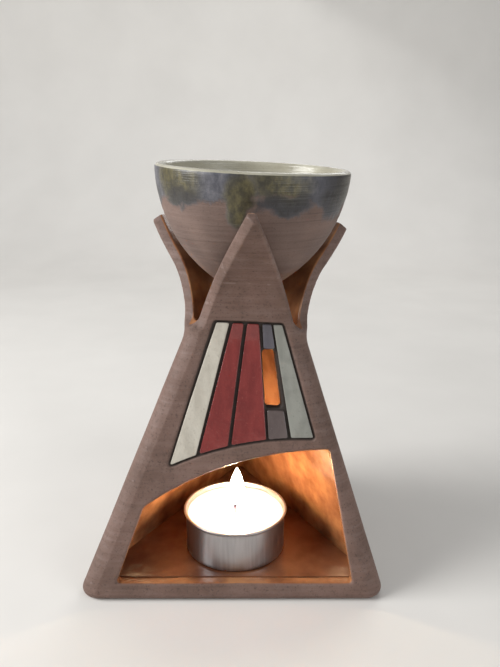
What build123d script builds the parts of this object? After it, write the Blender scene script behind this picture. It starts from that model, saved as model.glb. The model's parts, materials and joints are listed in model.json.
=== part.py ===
from build123d import *
from math import cos, radians, sin, sqrt, tan
import os

# Essential oil burner: three leaning slabs of stoneware carry a thrown bowl over a tealight.
# Millimetres. Z is up and the front slab faces -Y.
# The origin is on the table, where the stand's own axis leaves it.

os.makedirs("parts", exist_ok=True)

# Stand: the hand-built slabs share one axis, which leans a little to the right
axis_tilt = 2.3
slab_thickness = 4.2
face_reach = 33.6
face_lean = 12.0
waist_radius = 27.0
prong_flare = 50.0
corner_radius = 6.5
inner_corner_radius = 2.2
foot_radius = 2.4
cut_edge_radius = 1.0
floor_thickness = 6.5

# Mouth of the candle chamber, cut in the front slab, with what is left beside it at the mitres
mouth_left_gap = 15.4
mouth_right_gap = 15.5
mouth_arch_left_gap = 14.8
mouth_arch_right_gap = 8.7
mouth_left_height = 31.2
mouth_right_height = 53.1
mouth_arch_rise_height = 5.2
mouth_corner_radius = 3.0
mouth_right_corner_radius = 1.4

# Panel of five glazed stripes in a shallow recess over the mouth
panel_top_left_width = 11.0
panel_top_right_width = 12.6
panel_bottom_left_width = 25.1
panel_bottom_right_width = 25.7
panel_height = 39.2
panel_left_rise_height = 13.2
panel_right_rise_height = 3.3
panel_left_height = mouth_left_height + panel_left_rise_height
panel_right_height = mouth_right_height + panel_right_rise_height
panel_top_height = panel_right_height + panel_height
panel_arch_rise_height = 3.2
panel_corner_radius = 1.2
recess_depth = 1.0
stripe_drop_depth = 0.15
stripe_margin_width = 0.9
stripe_corner_radius = 0.5

# Waist beside the panel's top; over it each slab ends in a prong between two notches
waist_drop_height = 4.8
notch_rise_height = 1.2
waist_height = panel_top_height - waist_drop_height
notch_height = waist_height + notch_rise_height
notch_radius = 5.6
prong_root_width = 33.6
prong_end_tilt = 40.5
front_prong_rise_height = 43.3
front_prong_bulge_width = 0.9
front_prong_tip_width = 2.2
side_prong_rise_height = 33.9
side_prong_bulge_width = 3.0
side_prong_tip_width = 6.5
front_prong_height = notch_height + front_prong_rise_height
side_prong_height = notch_height + side_prong_rise_height

# Left and right edge of each stripe, as shares of the panel's width along its top, and along
# a line through its lowest corner, where the last stripe passes the panel's lower width
stripe_top_shares = {
    "cream_stripe": (0.051, 0.230),
    "left_red_stripe": (0.278, 0.433),
    "right_red_stripe": (0.483, 0.647),
    "slate_stripe": (0.693, 0.822),
    "grey_green_stripe": (0.847, 0.979),
}
stripe_bottom_shares = {
    "cream_stripe": (0.011, 0.176),
    "left_red_stripe": (0.194, 0.393),
    "right_red_stripe": (0.415, 0.688),
    "slate_stripe": (0.703, 0.854),
    "grey_green_stripe": (0.880, 1.061),
}

# Window cut through the slate stripe, leaning with the stripe
window_top_gap = 9.9
window_bottom_gap = 10.2
window_top_height = panel_top_height - window_top_gap
window_bottom_height = panel_right_height + window_bottom_gap
window_top_reach = 8.0
window_bottom_reach = 10.8
window_top_width = 4.9
window_bottom_width = 6.2
window_corner_radius = 0.9
window_back_step_width = 1.2
window_rim_width = 0.7

# Bowl: one swept curve from the foot to the rim
bowl_rim_radius = 32.4
bowl_side_radius = 47.0
bowl_rim_drop_height = 1.0
bowl_wall_thickness = 3.0
bowl_lip_radius = 1.3
bowl_foot_radius = 9.0
bowl_foot_recess_depth = 0.8
bowl_foot_ring_width = 2.2
bowl_ring_edge_radius = 0.6
bowl_inner_corner_radius = 14.0
bowl_seat_clearance = 0.3

# Tealight
tealight_radius = 19.0
tealight_height = 15.5
tealight_back_distance = 7.8
tealight_lift_height = 0.2
cup_wall_thickness = 0.4
cup_base_radius = 18.2
cup_bead_radius = 0.45
wax_clearance = 0.05
wax_below_rim_depth = 2.6
wax_meniscus_height = 0.8
wick_radius = 0.6
wick_stand_height = 4.6
wick_bend_width = 0.9
sustainer_radius = 6.2
sustainer_thickness = 0.3
sustainer_neck_radius = 1.3
sustainer_neck_height = 3.2

# One overrun serves all cuts and trims
overrun_length = 6.0
match_tolerance = 0.01

# The leaning frame of the stand
stand_axis = Plane(
    origin=(0, 0, 0),
    x_dir=(cos(radians(axis_tilt)), 0, -sin(radians(axis_tilt))),
    z_dir=(sin(radians(axis_tilt)), 0, cos(radians(axis_tilt))),
)
slab_turns = {"front_slab": -90, "right_slab": 30, "left_slab": 150}
mitre_turn = 180 / len(slab_turns)
front_prong = (front_prong_height, front_prong_tip_width, front_prong_bulge_width)
side_prong = (side_prong_height, side_prong_tip_width, side_prong_bulge_width)
stand_top = front_prong_height + overrun_length
stand_spread = (face_reach + stand_top) * 2


# A slab's plane seen edge on: x outward, y up the stand's axis
def edge_plane(turn):
    outward = stand_axis.x_dir.rotate(Axis((0, 0, 0), stand_axis.z_dir), turn)
    return Plane(origin=(0, 0, 0), x_dir=outward, z_dir=outward.cross(stand_axis.z_dir))


# A slab's plane seen from its front: x to the right, y up the stand's axis
def face_plane(turn):
    outward = stand_axis.x_dir.rotate(Axis((0, 0, 0), stand_axis.z_dir), turn)
    return Plane(origin=(0, 0, 0), x_dir=stand_axis.z_dir.cross(outward), z_dir=outward)


# Height up the stand's axis of a level plane, at a place across the front slab
def level_height(level, across):
    return (level + across * sin(radians(axis_tilt))) / cos(radians(axis_tilt))


# Distance from the axis to the middle of the waist's curve, which lies outside the stand
def waist_centre_reach():
    lean = radians(face_lean)
    low_height = waist_height - waist_radius * sin(lean)
    return face_reach - low_height * tan(lean) + waist_radius * cos(lean)


# Points of a slab's face, set inwards: foot, start, middle and end of the waist, top
def face_points(inset):
    lean, flare = radians(face_lean), radians(prong_flare)
    radius = waist_radius + inset
    centre = waist_centre_reach()
    low = (centre - radius * cos(lean), waist_height - radius * sin(lean))
    high = (centre - radius * cos(flare), waist_height + radius * sin(flare))
    foot = (low[0] + (low[1] + overrun_length) * tan(lean), -overrun_length)
    top = (high[0] + (stand_top - high[1]) * tan(flare), stand_top)
    return foot, low, (centre - radius, waist_height), high, top


# Solid column inside three equal faces, with rounded corners and a flat base
def column(inset, radius, foot=0):
    low_foot, low, waist, high, top = face_points(inset)
    with BuildPart() as body:
        for number, turn in enumerate(slab_turns.values()):
            with BuildSketch(edge_plane(turn)):
                with BuildLine():
                    Line(low_foot, low)
                    ThreePointArc(low, waist, high)
                    Line(high, top)
                    Polyline(top, (-stand_spread, stand_top), (-stand_spread, -overrun_length), low_foot)
                make_face()
            mode = Mode.ADD if number == 0 else Mode.INTERSECT
            extrude(amount=stand_spread, both=True, mode=mode)
        rising = body.edges().filter_by(lambda edge: rises(edge))
        fillet(rising, radius=radius)
        split(bisect_by=Plane.XY, keep=Keep.TOP)
        if foot:
            base_edges = body.faces().sort_by(Axis.Z)[0].edges()
            fillet(base_edges, radius=foot)
    return body.part


# True for an edge that runs up the stand and not across it
def rises(edge):
    climb = (edge @ 1 - edge @ 0).dot(stand_axis.z_dir)
    return abs(climb) > slab_thickness


# Thin layer of the front slab, between two depths under its face
def face_layer(shallow, deep):
    outer, inner = face_points(shallow), face_points(deep)
    with BuildPart() as layer:
        with BuildSketch(edge_plane(slab_turns["front_slab"])):
            with BuildLine():
                Line(outer[0], outer[1])
                ThreePointArc(outer[1], outer[2], outer[3])
                Line(outer[3], outer[4])
                Line(outer[4], inner[4])
                Line(inner[4], inner[3])
                ThreePointArc(inner[3], inner[2], inner[1])
                Line(inner[1], inner[0])
                Line(inner[0], outer[0])
            make_face()
        extrude(amount=face_reach * 2, both=True)
    return layer.part


# Outline of a slab seen from its front: the prong over the notches, open below
def slab_outline(prong):
    prong_height, tip_width, bulge_width = prong
    root, tip = prong_root_width / 2, tip_width / 2
    middle = (root + tip) / 2 + bulge_width
    half_way = (notch_height + prong_height) / 2
    with BuildSketch(mode=Mode.PRIVATE) as outline:
        with BuildLine():
            ThreePointArc((root, notch_height), (middle, half_way), (tip, prong_height))
            Line((tip, prong_height), (-tip, prong_height))
            ThreePointArc((-tip, prong_height), (-middle, half_way), (-root, notch_height))
            Polyline(
                (-root, notch_height),
                (-stand_spread, notch_height),
                (-stand_spread, -overrun_length),
                (stand_spread, -overrun_length),
                (stand_spread, notch_height),
                (root, notch_height),
            )
        make_face()
        roots = outline.vertices().filter_by(lambda spot: abs(spot.X) < stand_spread / 2)
        fillet(roots.group_by(Axis.Y)[0], radius=notch_radius)
    return outline.sketch


# Wedge of the stand that one slab fills, out to the mitres at its corners
def slab_sector(turn):
    with BuildPart() as sector:
        with BuildSketch(stand_axis.offset(-overrun_length * 2)):
            with BuildLine():
                Polyline(
                    (0, 0),
                    tuple(Vector(stand_spread, 0).rotate(Axis.Z, turn - mitre_turn)),
                    tuple(Vector(stand_spread * 2, 0).rotate(Axis.Z, turn)),
                    tuple(Vector(stand_spread, 0).rotate(Axis.Z, turn + mitre_turn)),
                    close=True,
                )
            make_face()
        extrude(amount=stand_top + overrun_length * 4)
    return sector.part


# Prism through the front slab, from an outline drawn on its face
def front_prism(outline):
    with BuildPart() as prism:
        with BuildSketch(face_plane(slab_turns["front_slab"])):
            add(outline)
        extrude(amount=face_reach * 2)
    return prism.part


# Arched edge from left to right, raised over its chord in the middle
def arched_edge(left, right, rise):
    middle = ((left[0] + right[0]) / 2, (left[1] + right[1]) / 2 + rise)
    return ThreePointArc(left, middle, right)


# Distance across a slab's face from its middle to the mitre, at a height under the waist
def mitre_reach(height):
    return (face_reach - height * tan(radians(face_lean))) * tan(radians(mitre_turn))


# Mouth of the candle chamber: level sill, sides that lean in, arched top falling to the left
def mouth_outline():
    left_reach = mitre_reach(floor_thickness) - mouth_left_gap
    right_reach = mitre_reach(floor_thickness) - mouth_right_gap
    sill_left = (-left_reach, level_height(floor_thickness, -left_reach))
    sill_right = (right_reach, level_height(floor_thickness, right_reach))
    top_left = (mouth_arch_left_gap - mitre_reach(mouth_left_height), mouth_left_height)
    top_right = (mitre_reach(mouth_right_height) - mouth_arch_right_gap, mouth_right_height)
    with BuildSketch(mode=Mode.PRIVATE) as outline:
        with BuildLine():
            Line(sill_left, sill_right)
            Line(sill_right, top_right)
            arched_edge(top_left, top_right, mouth_arch_rise_height)
            Line(top_left, sill_left)
        make_face()
        corners = outline.vertices().sort_by(Axis.Y)
        fillet(corners[2], radius=mouth_corner_radius)
        fillet(outline.vertices().sort_by(Axis.Y)[-1], radius=mouth_right_corner_radius)
    return outline.sketch


# Recess of the panel, narrow at the top and arched along the bottom
def panel_outline():
    top_left = (-panel_top_left_width, panel_top_height)
    top_right = (panel_top_right_width, panel_top_height)
    low_left = (-panel_bottom_left_width, panel_left_height)
    low_right = (panel_bottom_right_width, panel_right_height)
    with BuildSketch(mode=Mode.PRIVATE) as outline:
        with BuildLine():
            Line(top_left, top_right)
            Line(top_right, low_right)
            arched_edge(low_left, low_right, panel_arch_rise_height)
            Line(low_left, top_left)
        make_face()
        fillet(outline.vertices(), radius=panel_corner_radius)
    return outline.sketch


# Strip of the panel between two pairs of shares, before it is trimmed to the panel
def stripe_strip(name):
    top_span = panel_top_left_width + panel_top_right_width
    bottom_span = panel_bottom_left_width + panel_bottom_right_width
    top_edge = panel_top_height - stripe_margin_width
    with BuildSketch(mode=Mode.PRIVATE) as strip:
        with BuildLine():
            tops = [share * top_span - panel_top_left_width for share in stripe_top_shares[name]]
            lows = [share * bottom_span - panel_bottom_left_width for share in stripe_bottom_shares[name]]
            Polyline(
                (tops[0], top_edge),
                (tops[1], top_edge),
                (lows[1], panel_left_height),
                (lows[0], panel_left_height),
                close=True,
            )
        make_face()
    return strip.sketch


# One glazed stripe seen from its front, between two heights
def stripe_outline(name, lowest, highest):
    with BuildSketch(mode=Mode.PRIVATE) as outline:
        add(panel_outline())
        offset(amount=-stripe_margin_width, kind=Kind.INTERSECTION)
        add(stripe_strip(name), mode=Mode.INTERSECT)
        with Locations((0, (lowest + highest) / 2)):
            Rectangle(face_reach * 2, highest - lowest, mode=Mode.INTERSECT)
        fillet(outline.vertices(), radius=stripe_corner_radius)
    return outline.sketch


# Plane on the lower part of the front slab's face, or under it; y runs up the slope
def slope_plane(depth):
    upright = face_plane(slab_turns["front_slab"])
    lean = radians(face_lean)
    foot = upright.z_dir * (face_reach - depth / cos(lean))
    normal = upright.z_dir * cos(lean) + stand_axis.z_dir * sin(lean)
    return Plane(origin=tuple(foot), x_dir=upright.x_dir, z_dir=normal)


# Window seen along the slope, narrower on the right the deeper it is cut
def window_outline(depth):
    step = window_back_step_width * depth / slab_thickness
    slope = cos(radians(face_lean))
    top, low = window_top_height / slope, window_bottom_height / slope
    with BuildSketch(mode=Mode.PRIVATE) as outline:
        with BuildLine():
            Polyline(
                (window_top_reach - window_top_width / 2, top),
                (window_top_reach + window_top_width / 2 - step, top),
                (window_bottom_reach + window_bottom_width / 2 - step, low),
                (window_bottom_reach - window_bottom_width / 2, low),
                close=True,
            )
        make_face()
        fillet(outline.vertices(), radius=window_corner_radius)
    return outline.sketch


# Plane of a prong's end, tilted outward from its upper corner
def prong_end(turn, prong_height):
    outward, tilt = face_plane(turn).z_dir, radians(prong_end_tilt)
    corner = outward * face_distance(prong_height, slab_thickness) + stand_axis.z_dir * prong_height
    return Plane(origin=corner, z_dir=outward * sin(tilt) + stand_axis.z_dir * cos(tilt))


# Place of a shape through a slab's thickness, from 0 on the outer face to 1 on the inner face
def depth_share(shape, turn):
    spot = shape.center()
    height, reach = spot.dot(stand_axis.z_dir), spot.dot(face_plane(turn).z_dir)
    outer, inner = face_distance(height, 0), face_distance(height, slab_thickness)
    return (outer - reach) / (outer - inner)


# True for an edge or face near the outside of a slab
def is_outside(shape, turn):
    return depth_share(shape, turn) < 1 / 2


# Distance from the axis to a slab's face, at a height up the stand's axis
def face_distance(height, inset):
    foot, low, waist, high, top = face_points(inset)
    if height < low[1]:
        return foot[0] + (low[0] - foot[0]) * (height - foot[1]) / (low[1] - foot[1])
    if height > high[1]:
        return high[0] + (top[0] - high[0]) * (height - high[1]) / (top[1] - high[1])
    return waist_centre_reach() - sqrt((waist_radius + inset) ** 2 - (height - waist_height) ** 2)


# True for a face that lies in a mitre, where two slabs join
def is_mitre(face):
    flat = face.geom_type == GeomType.PLANE
    middle, normal = face.center(), face.normal_at()
    upright = abs(normal.dot(stand_axis.z_dir)) < match_tolerance
    return flat and upright and abs(middle.dot(normal)) < cut_edge_radius


# Faces cut straight through a slab, as seen from its front
def cut_walls(faces, turn):
    outward = face_plane(turn).z_dir
    return faces.filter_by(lambda face: abs(face.normal_at().dot(outward)) < match_tolerance)


# Edges that run round the walls of a cut, without those between one wall and the next
def rim_edges(walls, joints=()):
    edges = ShapeList()
    for wall in walls:
        shared = [edge for other in walls if other is not wall for edge in other.edges()]
        shared += [edge for joint in joints for edge in joint.edges()]
        edges += [edge for edge in wall.edges() if not any(edge.is_same(near) for near in shared)]
    return edges


# Outer edges of a prong, its end and the notches beside it
def prong_edges(part, turn):
    level = notch_height - notch_radius
    walls = part.faces().filter_by(lambda face: face.center().dot(stand_axis.z_dir) > level)
    walls = walls.filter_by(lambda face: match_tolerance < depth_share(face, turn) < 1 - match_tolerance)
    mitres = walls.filter_by(is_mitre)
    edges = rim_edges([wall for wall in walls if wall not in mitres], mitres)
    return edges.filter_by(lambda edge: is_outside(edge, turn))


# One slab of the stand, with its prong, its share of the notches and its mitred corners
def slab_blank(turn, prong):
    with BuildPart() as blank:
        add(stand_wall.part)
        add(slab_sector(turn), mode=Mode.INTERSECT)
        with BuildSketch(face_plane(turn)):
            add(slab_outline(prong))
        extrude(amount=stand_spread, mode=Mode.INTERSECT)
        split(bisect_by=prong_end(turn, prong[0]), keep=Keep.BOTTOM)
        fillet(prong_edges(blank.part, turn), radius=cut_edge_radius)
    return blank.part


outer_column = column(0, corner_radius, foot_radius)
inner_column = column(slab_thickness, inner_corner_radius)

with BuildPart() as stand_wall:
    add(outer_column)
    add(inner_column, mode=Mode.SUBTRACT)

# Left and right slabs
with BuildPart() as left_slab:
    add(slab_blank(slab_turns["left_slab"], side_prong))
left_slab.part.label = "left_slab"
export_step(left_slab.part, "parts/left_slab.step")

with BuildPart() as right_slab:
    add(slab_blank(slab_turns["right_slab"], side_prong))
right_slab.part.label = "right_slab"
export_step(right_slab.part, "parts/right_slab.step")

# Front slab, with the mouth, the panel's recess and the window
with BuildPart() as front_slab:
    add(slab_blank(slab_turns["front_slab"], front_prong))
    add(front_prism(mouth_outline()), mode=Mode.SUBTRACT)
    mouth_rim = rim_edges(cut_walls(front_slab.faces(Select.LAST), slab_turns["front_slab"]))
    mouth_front = mouth_rim.filter_by(lambda edge: is_outside(edge, slab_turns["front_slab"]))
    fillet(mouth_front, radius=cut_edge_radius)
    with BuildPart(mode=Mode.PRIVATE) as recess:
        add(face_layer(-overrun_length, recess_depth))
        add(front_prism(panel_outline()), mode=Mode.INTERSECT)
    add(recess.part, mode=Mode.SUBTRACT)
    for window_depth in (-window_rim_width, slab_thickness + window_rim_width):
        with BuildSketch(slope_plane(window_depth)):
            add(window_outline(window_depth))
    loft(mode=Mode.SUBTRACT)
front_slab.part.label = "front_slab"
export_step(front_slab.part, "parts/front_slab.step")

# Floor, let in between the three slabs
with BuildPart() as floor_slab:
    add(inner_column)
    split(bisect_by=Plane.XY.offset(floor_thickness), keep=Keep.BOTTOM)
floor_slab.part.label = "floor_slab"
export_step(floor_slab.part, "parts/floor_slab.step")

# Glazed stripes on the recess, the slate one in two lengths with the window between them
stripe_spans = {
    "cream_stripe": ("cream_stripe", 0, stand_top),
    "left_red_stripe": ("left_red_stripe", 0, stand_top),
    "right_red_stripe": ("right_red_stripe", 0, stand_top),
    "upper_slate_stripe": ("slate_stripe", window_top_height + window_rim_width, stand_top),
    "lower_slate_stripe": ("slate_stripe", 0, window_bottom_height - window_rim_width),
    "grey_green_stripe": ("grey_green_stripe", 0, stand_top),
}
for stripe_name, (shares_name, lowest, highest) in stripe_spans.items():
    with BuildPart() as stripe:
        add(face_layer(stripe_drop_depth, recess_depth))
        add(front_prism(stripe_outline(shares_name, lowest, highest)), mode=Mode.INTERSECT)
    stripe.part.label = stripe_name
    export_step(stripe.part, f"parts/{stripe_name}.step")


# Centre of the bowl's side curve, where its outside rests in the three prongs
def bowl_curve_centre():
    flare = radians(prong_flare)
    reach = bowl_rim_radius - sqrt(bowl_side_radius**2 - bowl_rim_drop_height**2)
    seat = face_points(slab_thickness)[3]
    rise = bowl_side_radius + bowl_seat_clearance + (reach - seat[0]) * cos(flare)
    return reach, seat[1] + rise / sin(flare)


# Height of a curve round the bowl's centre, at a distance from the axis
def bowl_curve_height(radius, across):
    reach, height = bowl_curve_centre()
    return height - sqrt(radius**2 - (across - reach) ** 2)


# Distance from the axis of a curve round the bowl's centre, at a height
def bowl_curve_distance(radius, up):
    reach, height = bowl_curve_centre()
    return reach + sqrt(radius**2 - (height - up) ** 2)


# Point half way along a curve round the bowl's centre, between two points on it
def bowl_curve_middle(radius, first, last):
    reach, height = bowl_curve_centre()
    middle = Vector((first[0] + last[0]) / 2 - reach, (first[1] + last[1]) / 2 - height)
    middle = middle.normalized() * radius
    return (middle.X + reach, middle.Y + height)


# Curve that joins the bowl's inner side to its flat inner floor: side end, middle, floor end
def bowl_inner_corner(radius, floor_height):
    reach, height = bowl_curve_centre()
    small = bowl_inner_corner_radius
    up = floor_height + small
    across = reach + sqrt((radius - small) ** 2 - (height - up) ** 2)
    outward = Vector(across - reach, up - height).normalized()
    middle = (outward + Vector(0, -1)).normalized()
    side_end = (across + small * outward.X, up + small * outward.Y)
    return side_end, (across + small * middle.X, up + small * middle.Y), (across, floor_height)


# Thrown bowl: curved side, rounded lip, turned foot ring
inner_radius = bowl_side_radius - bowl_wall_thickness
rim_height = bowl_curve_centre()[1] - bowl_rim_drop_height
foot_height = bowl_curve_height(bowl_side_radius, bowl_foot_radius)
bowl_floor_height = foot_height + bowl_foot_recess_depth + bowl_wall_thickness
with BuildPart() as bowl:
    with BuildSketch(edge_plane(0)) as bowl_section:
        with BuildLine():
            foot_edge = (bowl_foot_radius, foot_height)
            rim_outside = (bowl_rim_radius, rim_height)
            rim_inside = (bowl_curve_distance(inner_radius, rim_height), rim_height)
            side_end, corner_middle, floor_edge = bowl_inner_corner(inner_radius, bowl_floor_height)
            ring_inside = bowl_foot_radius - bowl_foot_ring_width
            side_middle = bowl_curve_middle(bowl_side_radius, foot_edge, rim_outside)
            ThreePointArc(foot_edge, side_middle, rim_outside)
            Line(rim_outside, rim_inside)
            ThreePointArc(rim_inside, bowl_curve_middle(inner_radius, rim_inside, side_end), side_end)
            ThreePointArc(side_end, corner_middle, floor_edge)
            Polyline(
                floor_edge,
                (0, bowl_floor_height),
                (0, foot_height + bowl_foot_recess_depth),
                (ring_inside, foot_height + bowl_foot_recess_depth),
                (ring_inside, foot_height),
                foot_edge,
            )
        make_face()
    turning_axis = Axis((0, 0, 0), stand_axis.z_dir)
    revolve(axis=turning_axis)
    ring, hollow, inner_floor, rim = bowl.faces().filter_by(GeomType.PLANE).sort_by(turning_axis)
    fillet(rim.edges(), radius=bowl_lip_radius)
    fillet(ring.edges(), radius=bowl_ring_edge_radius)
bowl.part.label = "bowl"
export_step(bowl.part, "parts/bowl.step")

# Tealight: everything is turned about an upright axis in front of the stand's middle
tealight_base = floor_thickness + tealight_lift_height
tealight_spot = (0, -tealight_back_distance, tealight_base)
tealight_section = Plane(origin=tealight_spot, x_dir=(1, 0, 0), z_dir=(0, -1, 0))
tealight_axis = Axis(tealight_spot, (0, 0, 1))
cup_rim_radius = tealight_radius - cup_bead_radius * 2
cup_bead_height = tealight_height - cup_bead_radius


# Radius of the cup's inner wall at a height over its base
def cup_inner_radius(height):
    slope = (cup_rim_radius - cup_base_radius) / tealight_height
    return cup_base_radius + slope * height - cup_wall_thickness


# Cup: thin tapered wall, rounded bottom corner and a rolled bead at the rim
with BuildPart() as tealight_cup:
    with BuildSketch(tealight_section):
        with BuildLine():
            Polyline(
                (0, 0),
                (cup_base_radius, 0),
                (cup_rim_radius, cup_bead_height),
                (cup_inner_radius(cup_bead_height), cup_bead_height),
                (cup_inner_radius(cup_wall_thickness), cup_wall_thickness),
                (0, cup_wall_thickness),
                close=True,
            )
        make_face()
        with Locations((cup_rim_radius + cup_bead_radius, cup_bead_height)):
            Circle(cup_bead_radius)
    revolve(axis=tealight_axis)
tealight_cup.part.label = "tealight_cup"
export_step(tealight_cup.part, "parts/tealight_cup.step")

# Sustainer: pressed steel disc with a short neck that grips the wick
wax_floor = cup_wall_thickness + wax_clearance
neck_top = wax_floor + sustainer_thickness + sustainer_neck_height
with BuildPart() as wick_sustainer:
    with BuildSketch(tealight_section):
        with BuildLine():
            Polyline(
                (wick_radius + wax_clearance, wax_floor),
                (sustainer_radius, wax_floor),
                (sustainer_radius, wax_floor + sustainer_thickness),
                (sustainer_neck_radius, wax_floor + sustainer_thickness),
                (sustainer_neck_radius, neck_top),
                (wick_radius + wax_clearance, neck_top),
                close=True,
            )
        make_face()
    revolve(axis=tealight_axis)
wick_sustainer.part.label = "wick_sustainer"
export_step(wick_sustainer.part, "parts/wick_sustainer.step")

# Wax: fills the cup round the wick, with a raised edge where it clings to the wall
wax_top = tealight_height - wax_below_rim_depth
with BuildPart() as tealight_wax:
    with BuildSketch(tealight_section):
        with BuildLine():
            pool_edge = (cup_inner_radius(wax_top) - wax_clearance - wax_meniscus_height * 2, wax_top)
            cling = (cup_inner_radius(wax_top) - wax_clearance, wax_top + wax_meniscus_height)
            low_edge = (cup_inner_radius(wax_floor) - wax_clearance, wax_floor)
            gap = wax_clearance * 2
            Line(pool_edge, (wick_radius + wax_clearance, wax_top))
            Polyline(
                (wick_radius + wax_clearance, wax_top),
                (wick_radius + wax_clearance, neck_top + gap),
                (sustainer_neck_radius + gap, neck_top + gap),
                (sustainer_neck_radius + gap, wax_floor + sustainer_thickness + gap),
                (sustainer_radius + gap, wax_floor + sustainer_thickness + gap),
                (sustainer_radius + gap, wax_floor),
                low_edge,
                cling,
            )
            TangentArc(pool_edge, cling, tangent=(1, 0))
        make_face()
    revolve(axis=tealight_axis)
tealight_wax.part.label = "tealight_wax"
export_step(tealight_wax.part, "parts/tealight_wax.step")

# Wick: straight through the wax, curling over at its burnt end
with BuildPart() as wick:
    with BuildLine(tealight_section) as wick_path:
        bend_start = (0, wax_top + wick_stand_height - wick_bend_width * 2)
        Line((0, wax_floor), bend_start)
        TangentArc(bend_start, (wick_bend_width, wax_top + wick_stand_height), tangent=(0, 1))
    with BuildSketch(Plane.XY.offset(tealight_base + wax_floor)):
        with Locations((0, -tealight_back_distance)):
            Circle(wick_radius)
    sweep(path=wick_path.wire())
wick.part.label = "wick"
export_step(wick.part, "parts/wick.step")
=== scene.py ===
import json
import math

import bmesh
import bpy
import numpy as np
from mathutils import Matrix, Vector, noise

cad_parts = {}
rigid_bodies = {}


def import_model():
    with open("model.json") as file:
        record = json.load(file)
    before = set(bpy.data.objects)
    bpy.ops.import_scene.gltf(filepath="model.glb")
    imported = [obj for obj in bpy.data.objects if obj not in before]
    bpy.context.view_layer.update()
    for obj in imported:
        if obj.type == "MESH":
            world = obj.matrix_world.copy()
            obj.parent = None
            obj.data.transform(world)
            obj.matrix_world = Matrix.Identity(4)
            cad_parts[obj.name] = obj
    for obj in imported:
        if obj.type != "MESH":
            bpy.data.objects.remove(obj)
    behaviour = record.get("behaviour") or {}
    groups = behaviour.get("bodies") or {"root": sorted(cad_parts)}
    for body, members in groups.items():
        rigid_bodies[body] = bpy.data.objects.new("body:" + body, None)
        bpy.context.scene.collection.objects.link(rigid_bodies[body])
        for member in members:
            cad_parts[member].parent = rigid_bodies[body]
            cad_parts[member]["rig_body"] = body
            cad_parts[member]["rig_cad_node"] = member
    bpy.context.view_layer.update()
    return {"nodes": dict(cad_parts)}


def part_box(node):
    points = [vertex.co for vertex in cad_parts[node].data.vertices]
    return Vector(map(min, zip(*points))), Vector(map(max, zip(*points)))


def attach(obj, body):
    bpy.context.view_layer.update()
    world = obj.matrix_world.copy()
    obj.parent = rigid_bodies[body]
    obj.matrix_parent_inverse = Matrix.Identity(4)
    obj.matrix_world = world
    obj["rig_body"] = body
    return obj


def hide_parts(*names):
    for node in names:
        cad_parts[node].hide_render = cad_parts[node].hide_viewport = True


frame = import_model()
nodes = frame["nodes"]

mm = 0.001
lean = math.radians(2.3)  # the stand and its bowl lean this much to the right
leaning = Matrix.Rotation(lean, 4, "Y")


# camera: first, so that everything below is judged in its view

camera = dict(
    place=(5.031, -234.396, 157.604),  # mm
    down=16.812,  # degrees
    right=0.019,
    roll=0.301,
    lens=37.227,
    sensor=36.0,
    nearest=5.0,  # mm, so that close views aren't cut
)


def makeCamera():
    down, right, roll = (math.radians(camera[key]) for key in ("down", "right", "roll"))
    ahead = Vector((
        math.sin(right) * math.cos(down),
        math.cos(right) * math.cos(down),
        -math.sin(down),
    ))
    across = Vector((math.cos(right), -math.sin(right), 0))
    above = across.cross(ahead)
    rolledAcross = across * math.cos(roll) + above * math.sin(roll)
    rolledAbove = above * math.cos(roll) - across * math.sin(roll)
    data = bpy.data.cameras.new("photoCamera")
    data.sensor_fit = "VERTICAL"
    data.sensor_height = camera["sensor"]
    data.lens = camera["lens"]
    data.clip_start = camera["nearest"] * mm
    obj = bpy.data.objects.new("photoCamera", data)
    bpy.context.scene.collection.objects.link(obj)
    turn = Matrix((rolledAcross, rolledAbove, -ahead)).transposed()
    obj.matrix_world = Matrix.Translation(Vector(camera["place"]) * mm) @ turn.to_4x4()
    bpy.context.scene.camera = obj


makeCamera()
print("camera in place")


# helpers for materials

def linearFromHex(code):
    parts = [int(code[i:i + 2], 16) / 255 for i in (1, 3, 5)]
    return [p / 12.92 if p <= 0.04045 else ((p + 0.055) / 1.055) ** 2.4 for p in parts] + [1.0]


def patternScale(millimetres):  # noise scale for features of this real size
    return 1 / (millimetres * mm)


def addNode(tree, kind, settings=None, links=None, output=0):
    node = tree.nodes.new(kind)
    for key, value in (settings or {}).items():
        if isinstance(value, str) and value.startswith("#"):
            value = linearFromHex(value)
        if isinstance(key, str) and hasattr(node, key):
            setattr(node, key, value)
        else:
            node.inputs[key].default_value = value
    for key, source in (links or {}).items():
        tree.links.new(source, node.inputs[key])
    return node.outputs[output]


def startMaterial(name, roughness, **sockets):
    material = bpy.data.materials.new(name)
    material.use_nodes = True
    tree = material.node_tree
    shader = tree.nodes["Principled BSDF"]
    shader.inputs["Roughness"].default_value = roughness
    for key, value in sockets.items():
        shader.inputs[key.replace("_", " ")].default_value = value
    place = addNode(tree, "ShaderNodeTexCoord", output="Object")
    return material, tree, shader, place


def paintOver(tree, colour, *layers):
    # each layer: its pattern, where that starts and is full, how strong it is, and its colour
    factorIn, underIn, overIn, colourOut = 0, 6, 7, 2  # the Mix node's sockets for colours
    for pattern, start, full, strength, over in layers:
        span = {"From Min": start, "From Max": full, "To Max": strength}
        settings = {"data_type": "RGBA"}
        links = {factorIn: addNode(tree, "ShaderNodeMapRange", span, {"Value": pattern})}
        for index, value in ((underIn, colour), (overIn, over)):
            (settings if isinstance(value, str) else links)[index] = value
        colour = addNode(tree, "ShaderNodeMix", settings, links, output=colourOut)
    return colour


def finishMaterial(tree, shader, colour, *relief):  # each relief: height pattern and depth in mm
    tree.links.new(colour, shader.inputs["Base Color"])
    normal = None
    for height, depth in relief:
        links = {"Height": height, "Normal": normal} if normal else {"Height": height}
        normal = addNode(tree, "ShaderNodeBump", {"Strength": 1.0, "Distance": depth * mm}, links)
    if normal:
        tree.links.new(normal, shader.inputs["Normal"])


# helpers for meshes

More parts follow.
